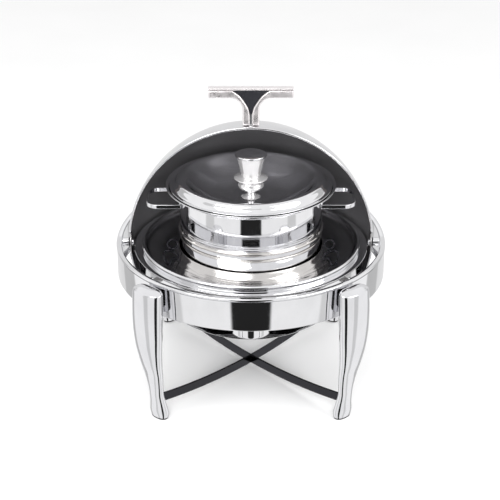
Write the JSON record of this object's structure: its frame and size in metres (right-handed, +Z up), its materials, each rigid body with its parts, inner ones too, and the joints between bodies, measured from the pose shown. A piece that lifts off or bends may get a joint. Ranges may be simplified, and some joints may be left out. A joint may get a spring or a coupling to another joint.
{
  "type": "roll top chafer",
  "caption": "Round roll top chafer: a banded stand on legs with a spherical cover that rolls back on side hinges over a water pan, soup pot with lidded knob, and burner.",
  "frame": {"origin": "on the floor under the middle of the stand", "axes": "+Z up, -Y front where the cover opens, +X to the right along the cover's hinge axis"},
  "size_m": [0.45, 0.45, 0.5039],
  "materials": {
    "polished_steel": "mirror-polished stainless steel",
    "brushed_steel": "satin stainless steel",
    "dark_steel": "dark gloss-coated steel bar",
    "black_plastic": "black heat-resistant plastic",
    "rubber": "matt black"
  },
  "bodies": {
    "stand": {"adaptor_collar": "polished_steel", "adaptor_plate": "polished_steel", "body_band": "polished_steel", "brace_lower": "dark_steel", "brace_upper": "dark_steel", "bracket_screw_left": "polished_steel", "bracket_screw_right": "polished_steel", "burner_cup": "polished_steel", "burner_strap": "dark_steel", "foot_pad_front_left": "rubber", "foot_pad_front_right": "rubber", "foot_pad_rear_left": "rubber", "foot_pad_rear_right": "rubber", "hinge_boss_left": "polished_steel", "hinge_boss_right": "polished_steel", "hinge_nut_left": "polished_steel", "hinge_nut_right": "polished_steel", "hinge_pin_left": "brushed_steel", "hinge_pin_right": "brushed_steel", "hinge_washer_left": "black_plastic", "hinge_washer_right": "black_plastic", "leg_front_left": "polished_steel", "leg_front_right": "polished_steel", "leg_rear_left": "polished_steel", "leg_rear_right": "polished_steel", "lifting_loop_left": "dark_steel", "lifting_loop_right": "dark_steel", "pan_support_ring": "brushed_steel", "rim_bead": "polished_steel", "snuffer_pin": "brushed_steel", "support_bracket_left": "brushed_steel", "support_bracket_right": "brushed_steel", "water_pan": "polished_steel"},
    "roll_top": {"handle_arm_left": "polished_steel", "handle_arm_right": "polished_steel", "handle_screw": "polished_steel", "handle_top_bar": "polished_steel", "handle_web": "black_plastic", "hinge_plate_left": "brushed_steel", "hinge_plate_right": "brushed_steel", "roll_top_edge_band": "brushed_steel", "roll_top_front_trim": "polished_steel", "roll_top_rear_trim": "polished_steel", "roll_top_shell": "polished_steel"},
    "soup_pot": {"handle_rivet_left_front": "polished_steel", "handle_rivet_left_rear": "polished_steel", "handle_rivet_right_front": "polished_steel", "handle_rivet_right_rear": "polished_steel", "pot_handle_left": "polished_steel", "pot_handle_right": "polished_steel", "pot_ledge_ring": "polished_steel", "pot_lower_bead": "polished_steel", "soup_pot": "polished_steel"},
    "pot_lid": {"knob_cap": "polished_steel", "knob_stem": "polished_steel", "lid_knob": "polished_steel", "pot_lid": "polished_steel"},
    "snuffer": {"snuffer_grip": "black_plastic", "snuffer_lid": "brushed_steel"}
  },
  "joints": [
    {"name": "roll_top_hinge", "type": "hinge", "parent": "stand", "child": "roll_top", "pos_m": [0, 0, 0.238], "axis": [1, 0, 0], "range_deg": [0, 88.5]},
    {"name": "soup_pot_turn", "type": "hinge", "parent": "stand", "child": "soup_pot", "pos_m": [0, 0, 0.1725], "axis": [0, 0, 1], "continuous": true},
    {"name": "pot_lid_lift", "type": "slide", "parent": "soup_pot", "child": "pot_lid", "axis": [0, 0, 1], "range_m": [0, 0.03]},
    {"name": "snuffer_swivel", "type": "hinge", "parent": "stand", "child": "snuffer", "pos_m": [0.0403, 0, 0.1193], "axis": [0, 0, 1], "range_deg": [0, 110]}
  ]
}
